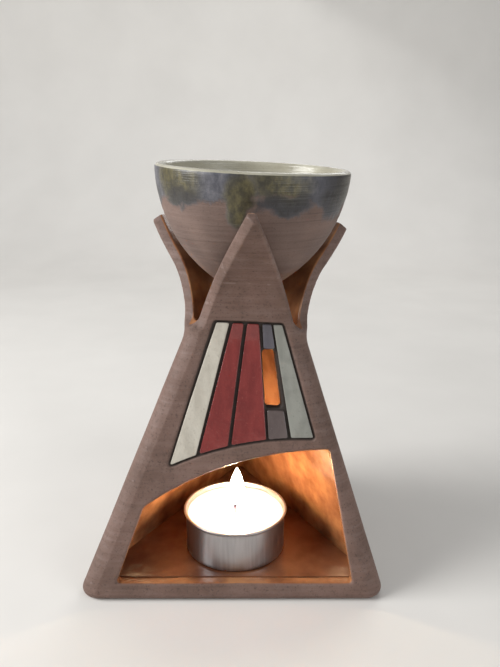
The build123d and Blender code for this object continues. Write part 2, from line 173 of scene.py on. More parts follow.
def newPiece(name, vertices, faces):
    mesh = bpy.data.meshes.new(name)
    mesh.from_pydata([tuple(v) for v in vertices], [], faces)
    mesh.update()
    mesh.shade_smooth()
    obj = bpy.data.objects.new(name, mesh)
    bpy.context.scene.collection.objects.link(obj)
    return obj


def writeShare(obj, name, values):  # one number for each vertex, read by the material
    layer = obj.data.attributes.new(name, "FLOAT", "POINT")
    layer.data.foreach_set("value", np.asarray(values, np.float32))


def vertexArray(obj):
    flat = np.zeros(len(obj.data.vertices) * 3)
    obj.data.vertices.foreach_get("co", flat)
    return flat.reshape(-1, 3)


def setVertices(obj, array):
    obj.data.vertices.foreach_set("co", np.asarray(array).ravel())
    obj.data.update()


def inLeaningFrame(points):
    return points @ np.array(leaning.to_3x3())


def smoothStep(value, low, high):
    share = np.clip((value - low) / (high - low), 0, 1)
    return share * share * (3 - 2 * share)


def noiseAt(points, size):  # soft noise from -1 to 1, with features of this size in mm
    scale = patternScale(size)
    return np.array([noise.noise(Vector(p) * scale) for p in points])


def noiseSum(points, layers):  # each layer: size of its features and how far it reaches, both in mm
    return sum(noiseAt(points, size) * reach for size, reach in layers)


def remesh(obj, voxel, relax=0, strength=0.5):
    bpy.context.view_layer.objects.active = obj
    modifier = obj.modifiers.new("remesh", "REMESH")
    modifier.mode = "VOXEL"
    modifier.voxel_size = voxel * mm
    if relax:
        soft = obj.modifiers.new("soft", "SMOOTH")
        soft.iterations = relax
        soft.factor = strength
    graph = bpy.context.evaluated_depsgraph_get()
    mesh = bpy.data.meshes.new_from_object(obj.evaluated_get(graph))
    obj.modifiers.clear()
    obj.data = mesh
    mesh.shade_smooth()


def turned(profile, steps):  # closed solid turned about Z from (radius, height) points
    vertices, faces, rings = [], [], []
    for radius, height in profile:
        if radius < 1e-9:  # on the axis
            rings.append([len(vertices)])
            vertices.append((0, 0, height))
            continue
        rings.append(list(range(len(vertices), len(vertices) + steps)))
        for step in range(steps):
            angle = 2 * math.pi * step / steps
            vertices.append((radius * math.cos(angle), radius * math.sin(angle), height))
    for low, high in zip(rings, rings[1:]):
        for step in range(steps):
            after = (step + 1) % steps
            if len(low) == 1:
                faces.append((low[0], high[after], high[step]))
            elif len(high) == 1:
                faces.append((low[step], low[after], high[0]))
            else:
                faces.append((low[step], low[after], high[after], high[step]))
    return vertices, faces


def divided(points, step):  # the same run of points, with none further apart than step
    result = [points[0]]
    for start, end in zip(points, points[1:]):
        count = max(1, math.ceil(math.dist(start, end) / step))
        for k in range(1, count + 1):
            result.append(tuple(a + (b - a) * k / count for a, b in zip(start, end)))
    return result


def arcRun(centre, radius, first, last, count):  # angles in degrees
    run = []
    for k in range(count + 1):
        angle = math.radians(first + (last - first) * k / count)
        run.append((centre[0] + radius * math.cos(angle), centre[1] + radius * math.sin(angle)))
    return run


# stand: three slabs of stoneware, rounded and a little uneven as clay is by hand

slab = dict(
    turns={"front_slab": -90, "right_slab": 30, "left_slab": 150},
    thickness=4.2,
    faceReach=33.6,
    faceLean=12.0,
    waistHeight=90.8,
    waistRadius=27.0,
    prongFlare=50.0,
    mitres=(-60, 60),  # degrees round, from the middle of a slab
    voxel=0.42,
    relax=4,
    overlap=0.3,  # how far each slab is let into the next one before they are joined
    faceBand=(0.08, 0.25),  # a point this near to its face is laid on it, so that the face is smooth
    waves=((24, 0.2), (6, 0.06)),  # size and depth of the hand-made unevenness
    wavesFrom=(0.5, 4.0),  # height over the table where they start and are full
    glazeFrom=(0.80, 0.97),  # share of the thickness where the inside's glaze starts and is full
)
bevel = dict(  # the slanting knife cut along the front prong's left side
    notchHeight=92.0,
    rise=43.3,
    rootReach=16.8,
    tipReach=1.1,
    bulge=0.9,
    width=2.8,
    share=0.62,  # how deep it goes into the slab's thickness
    start=(-0.04, 0.08),  # share of its rise over which it comes in
)
panel = dict(
    topLeft=(-11.0, 95.6),
    topRight=(12.6, 95.6),
    lowLeft=(-25.1, 44.4),
    lowRight=(25.7, 56.4),
    rise=3.2,
    fade=(-0.6, 0.1),  # in from its outline
    calm=0.9,  # how much of the unevenness is left off here
    recessShade=(0.3, 0.75),  # depth where the painted shade of the recess starts and is full
    # depth past which no painted shade is laid
    recessShadeTo=3,
)
mouth = dict(
    floor=6.5,
    top=57.0,
    left=(40.4, 0.344),  # reach at the floor, and how much it narrows for each mm of height
    right=(40.3, 0.225),
    margin=1.2,  # how far its glaze may reach beyond its sides, and under its sill
    underSill=0.6,
    facing=(0.55, 0.75),  # a wall that faces the front more than this isn't one of the cut walls
    fade=(0.06, 0.2),  # share of the thickness where its glaze starts and is full
)


def faceDistance(height, inset):  # from the axis to a slab's face, in mm
    leanAngle, flare = math.radians(slab["faceLean"]), math.radians(slab["prongFlare"])
    lowHeight = slab["waistHeight"] - slab["waistRadius"] * math.sin(leanAngle)
    centre = slab["faceReach"] - lowHeight * math.tan(leanAngle) + slab["waistRadius"] * math.cos(leanAngle)
    radius = slab["waistRadius"] + inset
    low = slab["waistHeight"] - radius * math.sin(leanAngle)
    high = slab["waistHeight"] + radius * math.sin(flare)
    clipped = np.clip(height, low, high) - slab["waistHeight"]
    curve = centre - np.sqrt(radius ** 2 - clipped ** 2)
    below = np.maximum(low - height, 0) * math.tan(leanAngle)
    above = np.maximum(height - high, 0) * math.tan(flare)
    return curve + below + above


def slabPlaces(points):
    # across, height and depth under the nearest face in mm, depth as a share, and the way out
    local = inLeaningFrame(points) / mm
    reach = np.full(len(local), -np.inf)
    across = np.zeros(len(local))
    wayOut = np.zeros(local.shape)
    for turn in slab["turns"].values():
        angle = math.radians(turn)
        outward = local[:, 0] * math.cos(angle) + local[:, 1] * math.sin(angle)
        along = -local[:, 0] * math.sin(angle) + local[:, 1] * math.cos(angle)
        nearer = outward > reach
        reach = np.where(nearer, outward, reach)
        across = np.where(nearer, along, across)
        wayOut[nearer] = leaning.to_3x3() @ Vector((math.cos(angle), math.sin(angle), 0))
    height = local[:, 2]
    outer, inner = faceDistance(height, 0), faceDistance(height, slab["thickness"])
    return across, height, outer - reach, (outer - reach) / (outer - inner), wayOut


def panelSide(top, low, height):  # where the straight side between two corners is, at this height
    drop = (top[1] - height) / (top[1] - low[1])
    return top[0] + (low[0] - top[0]) * drop


def panelShare(points, across, height):  # 1 inside the panel's outline
    onFront = inLeaningFrame(points)[:, 1] < 0
    lowLeft, lowRight, top = panel["lowLeft"], panel["lowRight"], panel["topLeft"][1]
    left = panelSide(panel["topLeft"], lowLeft, height)
    right = panelSide(panel["topRight"], lowRight, height)
    share = (across - lowLeft[0]) / (lowRight[0] - lowLeft[0])
    chord = lowLeft[1] + (lowRight[1] - lowLeft[1]) * share
    floor = chord + panel["rise"] * (1 - (2 * share - 1) ** 2)
    inset = np.minimum.reduce([across - left, right - across, height - floor, top - height])
    return onFront * smoothStep(inset, *panel["fade"])


def mitreNormal(turn, side):  # out of the slab, across the mitre on this side
    angle = math.radians(turn + side)
    normal = Vector((-math.sin(angle), math.cos(angle), 0)) * (1 if side > 0 else -1)
    return leaning.to_3x3() @ normal


def letInto(part, turn):  # push the mitre faces a little into the neighbouring slabs
    squareOn, nearPlane = 0.999, 0.05 * mm
    for side in slab["mitres"]:
        normal = mitreNormal(turn, side)
        faces = [
            face for face in part.faces
            if face.normal.dot(normal) > squareOn
            and abs(face.calc_center_median().dot(normal)) < nearPlane]
        moved = bmesh.ops.extrude_face_region(part, geom=faces)["geom"]
        points = [item for item in moved if isinstance(item, bmesh.types.BMVert)]
        bmesh.ops.translate(part, vec=normal * slab["overlap"] * mm, verts=points)
        covered = [face for face in faces if face.is_valid]
        bmesh.ops.delete(part, geom=covered, context="FACES_ONLY")


def cutBevel(obj):
    points = vertexArray(obj)
    across, height, _, share, _ = slabPlaces(points)
    along = (height - bevel["notchHeight"]) / bevel["rise"]
    swell = bevel["bulge"] * 4 * along * (1 - along)
    edge = bevel["rootReach"] + (bevel["tipReach"] - bevel["rootReach"]) * along + swell
    inset = np.clip((across + edge) / bevel["width"], 0, 1)
    wanted = bevel["share"] * (1 - inset) * smoothStep(along, *bevel["start"])
    local = inLeaningFrame(points) / mm
    # the front slab alone: there, across is the leaning frame's own x
    same, justOutside = 0.001, -0.5
    onFront = (local[:, 1] < -1) & (np.abs(across - local[:, 0]) < same)
    thickness = faceDistance(height, 0) - faceDistance(height, slab["thickness"])
    inward = np.maximum(wanted - share, 0) * thickness * mm * onFront * (share > justOutside)
    back = np.array(leaning.to_3x3() @ Vector((0, 1, 0)))
    setVertices(obj, points + back * inward[:, None])


def wholeStand():  # the three slabs as one, so that their corners are rounded together
    mesh = bpy.data.meshes.new("stand")
    joined = bmesh.new()
    weld = 0.005 * mm
    for name, turn in slab["turns"].items():
        part = bmesh.new()
        part.from_mesh(nodes[name].data)
        bmesh.ops.remove_doubles(part, verts=part.verts, dist=weld)
        letInto(part, turn)
        part.to_mesh(mesh)
        part.free()
        joined.from_mesh(mesh)
    joined.to_mesh(mesh)
    joined.free()
    obj = bpy.data.objects.new("stand", mesh)
    bpy.context.scene.collection.objects.link(obj)
    remesh(obj, slab["voxel"])
    cutBevel(obj)
    remesh(obj, slab["voxel"], slab["relax"])
    return obj


def mouthShare(points, normals, across, height, share):  # 1 on the cut walls of the mouth
    front = np.array(leaning.to_3x3() @ Vector((0, -1, 0)))
    sideways = 1 - smoothStep(np.abs(normals @ front), *mouth["facing"])
    onFront = inLeaningFrame(points)[:, 1] < 0
    up = height - mouth["floor"]
    left, right = (mouth[key][0] - mouth[key][1] * up + mouth["margin"] for key in ("left", "right"))
    # the sill is level, and the slabs lean
    overSill = points[:, 2] / mm > mouth["floor"] - mouth["underSill"]
    within = (across > -left) & (across < right) & overSill & (height < mouth["top"])
    return sideways * onFront * within * smoothStep(share, *mouth["fade"])


def workByHand(obj):  # even faces, a little unevenness, where each finish lies, and where the painted shade of the panel's recess lies
    points = vertexArray(obj)
    across, height, depth, share, outward = slabPlaces(points)
    onFace = 1 - smoothStep(np.abs(depth), *slab["faceBand"])
    points = points + outward * (depth * onFace * mm)[:, None]
    normals = np.zeros(len(points) * 3)
    obj.data.vertices.foreach_get("normal", normals)
    inward = np.zeros(len(points))
    for size, deep in slab["waves"]:
        inward += deep * mm * (noiseAt(points, size) + 1) / 2
    inward *= smoothStep(height, *slab["wavesFrom"])
    inPanel = panelShare(points, across, height)
    inward *= 1 - panel["calm"] * inPanel
    normals = normals.reshape(-1, 3)
    setVertices(obj, points - normals * inward[:, None])
    clearOfPanel = inPanel < 0.05
    reveal = mouthShare(points, normals, across, height, share) * clearOfPanel
    # painted shade: the clay deep in the panel's recess is darkened, as shade falls there
    recess = smoothStep(depth, *panel["recessShade"]) * (depth < panel["recessShadeTo"])
    writeShare(obj, "insideShare", np.maximum(smoothStep(share, *slab["glazeFrom"]), reveal))
    writeShare(obj, "recessShadeShare", inPanel * recess)


def splitAtMitres(whole, name, turn):
    part = bmesh.new()
    part.from_mesh(whole.data)
    for side in slab["mitres"]:
        normal = mitreNormal(turn, side)
        everything = part.verts[:] + part.edges[:] + part.faces[:]
        cut = bmesh.ops.bisect_plane(
            part, geom=everything, plane_co=(0, 0, 0), plane_no=normal, clear_outer=True)
        rim = [item for item in cut["geom_cut"] if isinstance(item, bmesh.types.BMEdge)]
        for edge in rim:
            edge.smooth = False
        bmesh.ops.triangle_fill(part, edges=rim, use_beauty=True, normal=normal)
    mesh = bpy.data.meshes.new(name + "_clay")
    part.to_mesh(mesh)
    part.free()
    obj = bpy.data.objects.new(name + "_clay", mesh)
    bpy.context.scene.collection.objects.link(obj)
    return obj


def brushedStoneware():
    # dark stoneware, sponged and brushed level while damp: dry mauve brown, with a gloss glaze inside
    material, tree, shader, place = startMaterial("brushedStoneware", 0.7)
    level = addNode(tree, "ShaderNodeMapping", {"Scale": (1, 1, 24)}, {"Vector": place})
    clouds = addNode(tree, "ShaderNodeTexNoise", {"Scale": patternScale(22), "Detail": 4}, {"Vector": place})
    strokes = addNode(  # brush hairs about 1 mm apart
        tree, "ShaderNodeTexNoise",
        {"Scale": patternScale(26), "Detail": 4, "Roughness": 0.6}, {"Vector": level})
    speckle = addNode(
        tree, "ShaderNodeTexNoise", {"Scale": patternScale(0.7), "Detail": 2}, {"Vector": place})
    patches = addNode(
        tree, "ShaderNodeTexNoise",
        {"Scale": patternScale(5), "Detail": 5, "Roughness": 0.6}, {"Vector": place})
    # sharpness of each edge, for the pale edges that are partly wear and partly painted highlight
    wornAndHighlit = addNode(tree, "ShaderNodeNewGeometry", output="Pointiness")
    recessShade = addNode(tree, "ShaderNodeAttribute", {"attribute_name": "recessShadeShare"}, output="Fac")
    inside = addNode(tree, "ShaderNodeAttribute", {"attribute_name": "insideShare"}, output="Fac")
    clay = paintOver(
        tree, "#604a40",
        (clouds, 0.35, 0.65, 1, "#745b51"),
        (patches, 0.5, 0.7, 0.35, "#7f6a62"),
        (patches, 0.45, 0.3, 0.35, "#493830"),
        (strokes, 0.5, 0.75, 0.22, "#86706a"),
        (strokes, 0.45, 0.25, 0.25, "#41322b"),
        (speckle, 0.56, 0.72, 0.5, "#34271f"),
        # pale on sharp edges: partly rubbed wear, partly painted highlight where light catches the corners
        (wornAndHighlit, 0.56, 0.68, 0.4, "#93807a"),
        # painted shade over the clay in the panel's recess
        (recessShade, 0, 1, 1, "#2c221c"),
    )
    pools = addNode(tree, "ShaderNodeTexNoise", {"Scale": patternScale(9), "Detail": 4}, {"Vector": place})
    glaze = paintOver(tree, "#784c32", (pools, 0.35, 0.65, 1, "#a5744d"))
    drips = addNode(tree, "ShaderNodeTexNoise", {"Scale": patternScale(3), "Detail": 3}, {"Vector": place})
    drips = addNode(tree, "ShaderNodeMapRange", {"To Min": -0.25, "To Max": 0.25}, {"Value": drips})
    ragged = addNode(tree, "ShaderNodeMath", {"operation": "ADD", "use_clamp": True}, {0: inside, 1: drips})
    glazed = addNode(tree, "ShaderNodeMapRange", {"From Min": 0.45, "From Max": 0.55}, {"Value": ragged})
    dry = addNode(
        tree, "ShaderNodeMapRange",
        {"From Min": 0.3, "From Max": 0.7, "To Min": 0.78, "To Max": 0.6}, {"Value": strokes})
    gloss = addNode(tree, "ShaderNodeMix", {"data_type": "FLOAT", 3: 0.2}, {0: glazed, 2: dry})
    tree.links.new(gloss, shader.inputs["Roughness"])
    colour = paintOver(tree, clay, (glazed, 0, 1, 1, glaze))
    finishMaterial(tree, shader, colour, (strokes, 0.09), (patches, 0.12), (speckle, 0.05))
    return material


def makeStand():
    whole = wholeStand()
    workByHand(whole)
    clay = brushedStoneware()
    for name, turn in slab["turns"].items():
        piece = splitAtMitres(whole, name, turn)
        piece.data.materials.append(clay)
        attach(piece, "stand")
        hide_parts(name)
    bpy.data.objects.remove(whole)


makeStand()
print("slabs shaped")


# floor: let in between the slabs, with glaze pooled over it

def pooledGlaze():
    # brown glaze run level in the kiln: wet gloss, darker where it lies thick
    material, tree, shader, place = startMaterial("pooledBrownGlaze", 0.12, IOR=1.52)
    pools = addNode(tree, "ShaderNodeTexNoise", {"Scale": patternScale(14), "Detail": 4}, {"Vector": place})
    pits = addNode(tree, "ShaderNodeTexNoise", {"Scale": patternScale(4), "Detail": 3}, {"Vector": place})
    colour = paintOver(tree, "#593625", (pools, 0.35, 0.65, 1, "#83563b"))
    finishMaterial(tree, shader, colour, (pools, 0.35), (pits, 0.08))
    return material


nodes["floor_slab"].data.materials.clear()
nodes["floor_slab"].data.materials.append(pooledGlaze())
print("floor glazed")


# stripes: fields of glaze, each a low cushion with soft edges

stripes = dict(
    voxel=0.17,
    relax=6,
    # each glaze: base, mottle, thin edge, speckle, roughness
    glazes=dict(
        brushedCreamGlaze=("#c3bdb0", "#aba497", "#84796b", "#8a8072", 0.28),
        copperRedGlaze=("#803633", "#692a29", "#4c201c", "#905049", 0.14),
        slateBlueGlaze=("#5b585f", "#4a464b", "#3a3330", "#6d6a6e", 0.3),
        slateBrownGlaze=("#635755", "#514644", "#3c322e", "#77706e", 0.3),
        celadonGreyGlaze=("#8f8f87", "#7a7a73", "#5f5c54", "#62625a", 0.3),
    ),
    # each field: its glaze and its slot
    fields=dict(
        cream_stripe=("brushedCreamGlaze", "cream_glaze"),
        left_red_stripe=("copperRedGlaze", "red_glaze"),
        right_red_stripe=("copperRedGlaze", "red_glaze"),
        upper_slate_stripe=("slateBlueGlaze", "slate_glaze"),
        lower_slate_stripe=("slateBrownGlaze", "slate_glaze"),
        grey_green_stripe=("celadonGreyGlaze", "grey_green_glaze"),
    ),
)


def fieldGlaze(name, base, mottle, edge, speckle, roughness):
    # glaze laid on with a loaded brush: streaks along the stripe, thin and dark at its edges
    material, tree, shader, place = startMaterial(name, roughness, IOR=1.52)
    along = addNode(tree, "ShaderNodeMapping", {"Scale": (4, 1, 1)}, {"Vector": place})
    streaks = addNode(  # brush streaks about 3 mm wide
        tree, "ShaderNodeTexNoise", {"Scale": patternScale(12), "Detail": 3}, {"Vector": along})
    clouds = addNode(tree, "ShaderNodeTexNoise", {"Scale": patternScale(5), "Detail": 3}, {"Vector": place})
    dots = addNode(
        tree, "ShaderNodeTexNoise", {"Scale": patternScale(0.8), "Detail": 1}, {"Vector": place})
    thin = addNode(tree, "ShaderNodeNewGeometry", output="Pointiness")
    colour = paintOver(
        tree, base,
        (streaks, 0.4, 0.65, 0.6, mottle),
        (clouds, 0.5, 0.75, 0.7, mottle),
        (dots, 0.64, 0.76, 0.3, speckle),
        (thin, 0.52, 0.62, 0.9, edge),
    )
    finishMaterial(tree, shader, colour, (clouds, 0.25), (dots, 0.04))
    return material


def makeStripes():
    glazes = {name: fieldGlaze(name, *look) for name, look in stripes["glazes"].items()}
    for name, (glaze, slot) in stripes["fields"].items():
        piece = nodes[name].copy()
        piece.data = nodes[name].data.copy()
        piece.parent = None
        for key in ("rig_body", "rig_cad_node"):  # the copy is no CAD node any more
            if key in piece:
                del piece[key]
        piece.name = name + "_glaze"
        bpy.context.scene.collection.objects.link(piece)
        remesh(piece, stripes["voxel"], stripes["relax"])
        piece.data.materials.clear()
        piece.data.materials.append(glazes[glaze])
        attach(piece, "stand")
        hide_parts(name)


makeStripes()
print("stripes glazed")


# bowl: thrown, with throwing lines outside and a brushed band of glaze under the rim

bowl = dict(
    rimRadius=32.4,
    sideRadius=47.0,
    rimDrop=1.0,
    wall=3.0,
    lip=1.3,
    footRadius=9.0,
    footRecess=0.8,
    footRing=2.2,
    innerCorner=14.0,
    steps=420,
    spacing=0.5,
    outerSteps=110,
    innerSteps=80,
    cornerSteps=30,
    lipSteps=12,
    outerShell=(0.6, 0.2),  # a point is outside from these shares of the wall under its outer face
    lineDepth=0.16,  # throwing lines
    lines=((0, 0.9, 1.0), (3, 2.3, 0.5)),  # each set: where its noise is read, how fine, how strong
    linesUnderRim=(6, 11),  # where they start and are full
    linesOverFoot=(1, 4),
    waves=(16, 0.12),  # size and depth of the unevenness
    rimGlaze=(1.0, 0.5),  # the pale glaze comes over the rim, and starts and is full this far under it
    bandDepth=9.4,  # the glaze band ends about this far under the rim
    bandSway=(1.6, 2, 1.2),  # how far it rises and falls, how many times round, and from where
    bandFade=(-2.4, 2.0),
    bandRuns=(1, 1, 0.35),  # stretches the edge's ragged shape downwards
    bandRagged=((5, 1.8), (14, 2.0)),  # size and reach, one for the runs and one for the rest
    driftAcross=((7, 2.6), (2.5, 1.2)),  # size and reach of what makes the patches ragged
    driftDown=((6, 2.2), (2.2, 1.2)),
    spotEdge=(0.45, 1.25),  # where a patch starts to fade and is gone, as shares of its half sizes
    # soft patches in the band: angle round the bowl, depth under the rim, half width, half height
    drip=(-97, 9, 4.6, 10.5),
    oliveSpots=(
        (-97, 8.5, 4.8, 11),
        (-76, 3.5, 11, 6.5),
        (-138, 4.5, 11, 7),
        (-20, 5, 10, 6),
        (30, 4, 9, 7),
        (85, 5, 10, 6),
        (150, 5, 11, 6),
    ),
    darkSpots=(
        (-134, 8.8, 9, 3.6),
        (-72, 9.6, 11, 4.2),
        (-32, 6.5, 11, 8.5),
        (10, 11, 7, 3),
        (60, 10, 9, 3),
        (120, 11, 8, 3),
        (190, 10, 7, 3),
    ),
)


def sideCentre(rim):  # radius and height of the middle of the side's arc
    reach = bowl["rimRadius"] - math.sqrt(bowl["sideRadius"] ** 2 - bowl["rimDrop"] ** 2)
    return reach, rim + bowl["rimDrop"]


def bowlProfile():
    heights = inLeaningFrame(vertexArray(nodes["bowl"]))[:, 2] / mm
    foot, rim = heights.min(), heights.max()
    centre = sideCentre(rim)
    outer, inner = bowl["sideRadius"], bowl["sideRadius"] - bowl["wall"]

    def heightAngle(radius, height):
        return math.degrees(math.asin((height - centre[1]) / radius))

    ringInside = bowl["footRadius"] - bowl["footRing"]
    recess = foot + bowl["footRecess"]
    floorHeight = recess + bowl["wall"]
    small = bowl["innerCorner"]
    cornerHeight = floorHeight + small
    cornerReach = centre[0] + math.sqrt((inner - small) ** 2 - (centre[1] - cornerHeight) ** 2)
    side = math.degrees(math.atan2(cornerHeight - centre[1], cornerReach - centre[0]))
    lipHeight = rim - bowl["lip"]
    outerStart = heightAngle(outer, foot + 0.6)
    outerEnd = heightAngle(outer, lipHeight)
    innerStart = heightAngle(inner, lipHeight)
    lipOuter = arcRun(centre, outer, outerEnd, outerEnd, 1)[0]
    lipInner = arcRun(centre, inner, innerStart, innerStart, 1)[0]
    lipMiddle = ((lipOuter[0] + lipInner[0]) / 2, lipHeight)
    half = (lipOuter[0] - lipInner[0]) / 2
    lipRun = [
        (lipMiddle[0] + half * math.cos(angle), lipMiddle[1] + bowl["lip"] * math.sin(angle))
        for angle in np.linspace(0, math.pi, bowl["lipSteps"] + 1)]
    profile = [  # the turned foot ring, with its edges taken off
        (0, recess),
        (ringInside - 0.3, recess),
        (ringInside, foot + 0.5),
        (ringInside + 0.3, foot + 0.12),
        (ringInside + 0.7, foot),
        (bowl["footRadius"] - 0.7, foot),
        (bowl["footRadius"] - 0.2, foot + 0.15),
    ]
    profile += arcRun(centre, outer, outerStart, outerEnd, bowl["outerSteps"])
    profile += lipRun[1:-1]
    profile += arcRun(centre, inner, innerStart, side, bowl["innerSteps"])
    profile += arcRun((cornerReach, cornerHeight), small, side, -90, bowl["cornerSteps"])[1:]
    profile += [(0, floorHeight)]
    return divided(profile, bowl["spacing"]), foot, rim


def makeBowl():
    profile, foot, rim = bowlProfile()
    scaled = [(radius * mm, height * mm) for radius, height in profile]
    vertices, faces = turned(scaled, bowl["steps"])
    points = np.array(vertices)
    radius = np.hypot(points[:, 0], points[:, 1]) / mm
    height = points[:, 2] / mm
    angle = np.arctan2(points[:, 1], points[:, 0])
    lines = sum(
        strength * np.array([noise.noise(Vector((start, 0, h * often))) for h in height])
        for start, often, strength in bowl["lines"])
    centre, side, wall = sideCentre(rim), bowl["sideRadius"], bowl["wall"]
    fromCentre = np.hypot(radius - centre[0], height - centre[1])
    under, over = bowl["outerShell"]
    outside = smoothStep(fromCentre, side - under * wall, side - over * wall)
    bare = smoothStep(rim - height, *bowl["linesUnderRim"])
    bare = bare * smoothStep(height - foot, *bowl["linesOverFoot"])
    size, deep = bowl["waves"]
    inward = bowl["lineDepth"] * (lines + 1) / 2 * outside * bare
    inward += deep * (noiseAt(points, size) + 1) / 2 * outside * bare
    shrink = 1 - inward / np.maximum(radius, 1)
    points[:, 0] *= shrink
    points[:, 1] *= shrink
    placed = points @ np.array(leaning.to_3x3()).T
    piece = newPiece("thrown_bowl", placed, faces)

    driftAcross = noiseSum(points, bowl["driftAcross"])
    driftDown = noiseSum(points + 1, bowl["driftDown"])

    def spot(turn, down, wide, tall):  # soft patch at an angle and a depth under the rim
        gap = np.angle(np.exp(1j * (angle - math.radians(turn)))) * radius + driftAcross
        far = np.hypot(gap / wide, (rim - height - down + driftDown) / tall)
        return 1 - smoothStep(far, *bowl["spotEdge"])

    (runSize, runReach), (size, reach) = bowl["bandRagged"]
    stretched = points * np.array(bowl["bandRuns"])
    ragged = noiseAt(stretched, runSize) * runReach + noiseAt(points, size) * reach
    rise, times, start = bowl["bandSway"]
    bandEdge = bowl["bandDepth"] + rise * np.sin(angle * times + start) + ragged
    band = smoothStep(bandEdge - (rim - height), *bowl["bandFade"])
    olive = np.maximum.reduce([spot(*place) for place in bowl["oliveSpots"]])
    dark = np.maximum.reduce([spot(*place) for place in bowl["darkSpots"]])
    writeShare(piece, "bandShare", np.maximum(band, np.maximum(spot(*bowl["drip"]), dark)) * outside)
    writeShare(piece, "oliveShare", olive)
    writeShare(piece, "darkShare", dark)
    rimStart, rimFull = bowl["rimGlaze"]
    onRim = smoothStep(height, rim - rimStart, rim - rimFull)
    writeShare(piece, "insideShare", np.maximum(1 - outside, onRim))
    piece.data.materials.append(bowlStoneware())
    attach(piece, "bowl")
    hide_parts("bowl")


def bowlStoneware():
    # thrown stoneware, ribbed by the fingers: bare below, brushed ash glazes above, pale glaze inside
    material, tree, shader, place = startMaterial("thrownStoneware", 0.6)
    level = addNode(
        tree, "ShaderNodeMapping", {"Scale": (0.4, 0.4, 34), "Rotation": (0, -lean, 0)}, {"Vector": place})
    flow = addNode(tree, "ShaderNodeMapping", {"Scale": (1, 1, 0.6)}, {"Vector": place})
    rings = addNode(  # throwing lines under 1 mm apart
        tree, "ShaderNodeTexNoise",
        {"Scale": patternScale(30), "Detail": 4, "Roughness": 0.65}, {"Vector": level})
    clouds = addNode(tree, "ShaderNodeTexNoise", {"Scale": patternScale(14), "Detail": 4}, {"Vector": place})
    speckle = addNode(
        tree, "ShaderNodeTexNoise", {"Scale": patternScale(0.6), "Detail": 2}, {"Vector": place})
    mottle = addNode(
        tree, "ShaderNodeTexNoise",
        {"Scale": patternScale(2.2), "Detail": 5, "Roughness": 0.65}, {"Vector": flow})
    bandShare, oliveShare, darkShare, insideShare = (
        addNode(tree, "ShaderNodeAttribute", {"attribute_name": name}, output="Fac")
        for name in ("bandShare", "oliveShare", "darkShare", "insideShare"))
    bare = paintOver(
        tree, "#5e4b43",
        (clouds, 0.35, 0.65, 1, "#735e55"),
        (rings, 0.52, 0.72, 0.25, "#86736b"),
        (rings, 0.42, 0.28, 0.5, "#392b25"),
        (speckle, 0.58, 0.75, 0.4, "#3a2d27"),
    )
    olive = paintOver(tree, "#39341f", (mottle, 0.4, 0.62, 1, "#5d5531"))
    smoky = addNode(
        tree, "ShaderNodeMapRange", {"From Min": 0.3, "From Max": 0.6, "To Min": 0.4}, {"Value": mottle})
    smoky = addNode(tree, "ShaderNodeMath", {"operation": "MULTIPLY"}, {0: darkShare, 1: smoky})
    band = paintOver(
        tree, "#44444b",
        (mottle, 0.38, 0.62, 1, "#5e5d63"),
        (mottle, 0.6, 0.72, 0.35, "#7a7673"),
        (oliveShare, 0, 1, 0.9, olive),
        (smoky, 0, 1, 1, "#242120"),
    )
    pale = paintOver(
        tree, "#a39e8d",
        (clouds, 0.35, 0.7, 1, "#bdb9a8"),
        (speckle, 0.6, 0.75, 0.4, "#87806a"),
    )
    masks = []
    for share, spread, low, high in ((bandShare, 0.35, 0.25, 0.75), (insideShare, 0.12, 0.4, 0.6)):
        span = {"From Min": 0.2, "From Max": 0.8, "To Min": -spread, "To Max": spread}
        ragged = addNode(tree, "ShaderNodeMapRange", span, {"Value": mottle})
        edge = addNode(
            tree, "ShaderNodeMath", {"operation": "ADD", "use_clamp": True}, {0: share, 1: ragged})
        mask = addNode(tree, "ShaderNodeMapRange", {"From Min": low, "From Max": high}, {"Value": edge})
        masks.append(mask)
    banded, inside = masks
    colour = paintOver(tree, bare, (banded, 0, 1, 1, band), (inside, 0, 1, 1, pale))
    gloss = addNode(tree, "ShaderNodeMix", {"data_type": "FLOAT", 2: 0.66, 3: 0.34}, {0: banded})
    gloss = addNode(tree, "ShaderNodeMix", {"data_type": "FLOAT", 3: 0.16}, {0: inside, 2: gloss})
    tree.links.new(gloss, shader.inputs["Roughness"])
    finishMaterial(tree, shader, colour, (rings, 0.2), (banded, 0.1), (speckle, 0.05))
    return material


makeBowl()
print("bowl thrown")


# tealight: pressed cup, wax, wick and its sustainer

tealight = dict(
    radius=19.0,
    baseRadius=18.2,
    height=15.5,
    bead=0.45,
    wall=0.4,
    belowRim=2.6,  # the wax's top
    cling=0.8,  # how far the wax creeps up the wall
    waxGap=0.15,
    steps=220,
    charred=(20.5, 22.5),  # height over the table where the wick starts to be black and is all black
)


def tealightPlace():
    low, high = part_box("tealight_cup")
    middle = (Vector(low) + Vector(high)) / 2
    return Vector((middle.x, middle.y, Vector(low).z))


def pressedAluminium():
    # thin aluminium drawn in a press: bright, with fine upright draw marks
    material, tree, shader, place = startMaterial("pressedAluminium", 0.32, Metallic=1.0)
    upright = addNode(tree, "ShaderNodeMapping", {"Scale": (14, 14, 1)}, {"Vector": place})
    marks = addNode(
        tree, "ShaderNodeTexNoise", {"Scale": patternScale(12), "Detail": 2}, {"Vector": upright})
    rub = addNode(
        tree, "ShaderNodeMapRange",
        {"From Min": 0.3, "From Max": 0.7, "To Min": 0.34, "To Max": 0.42}, {"Value": marks})
    tree.links.new(rub, shader.inputs["Roughness"])
    colour = paintOver(tree, "#a9a7a8", (marks, 0.3, 0.7, 1, "#b8b7b8"))
    finishMaterial(tree, shader, colour, (marks, 0.012))
    return material


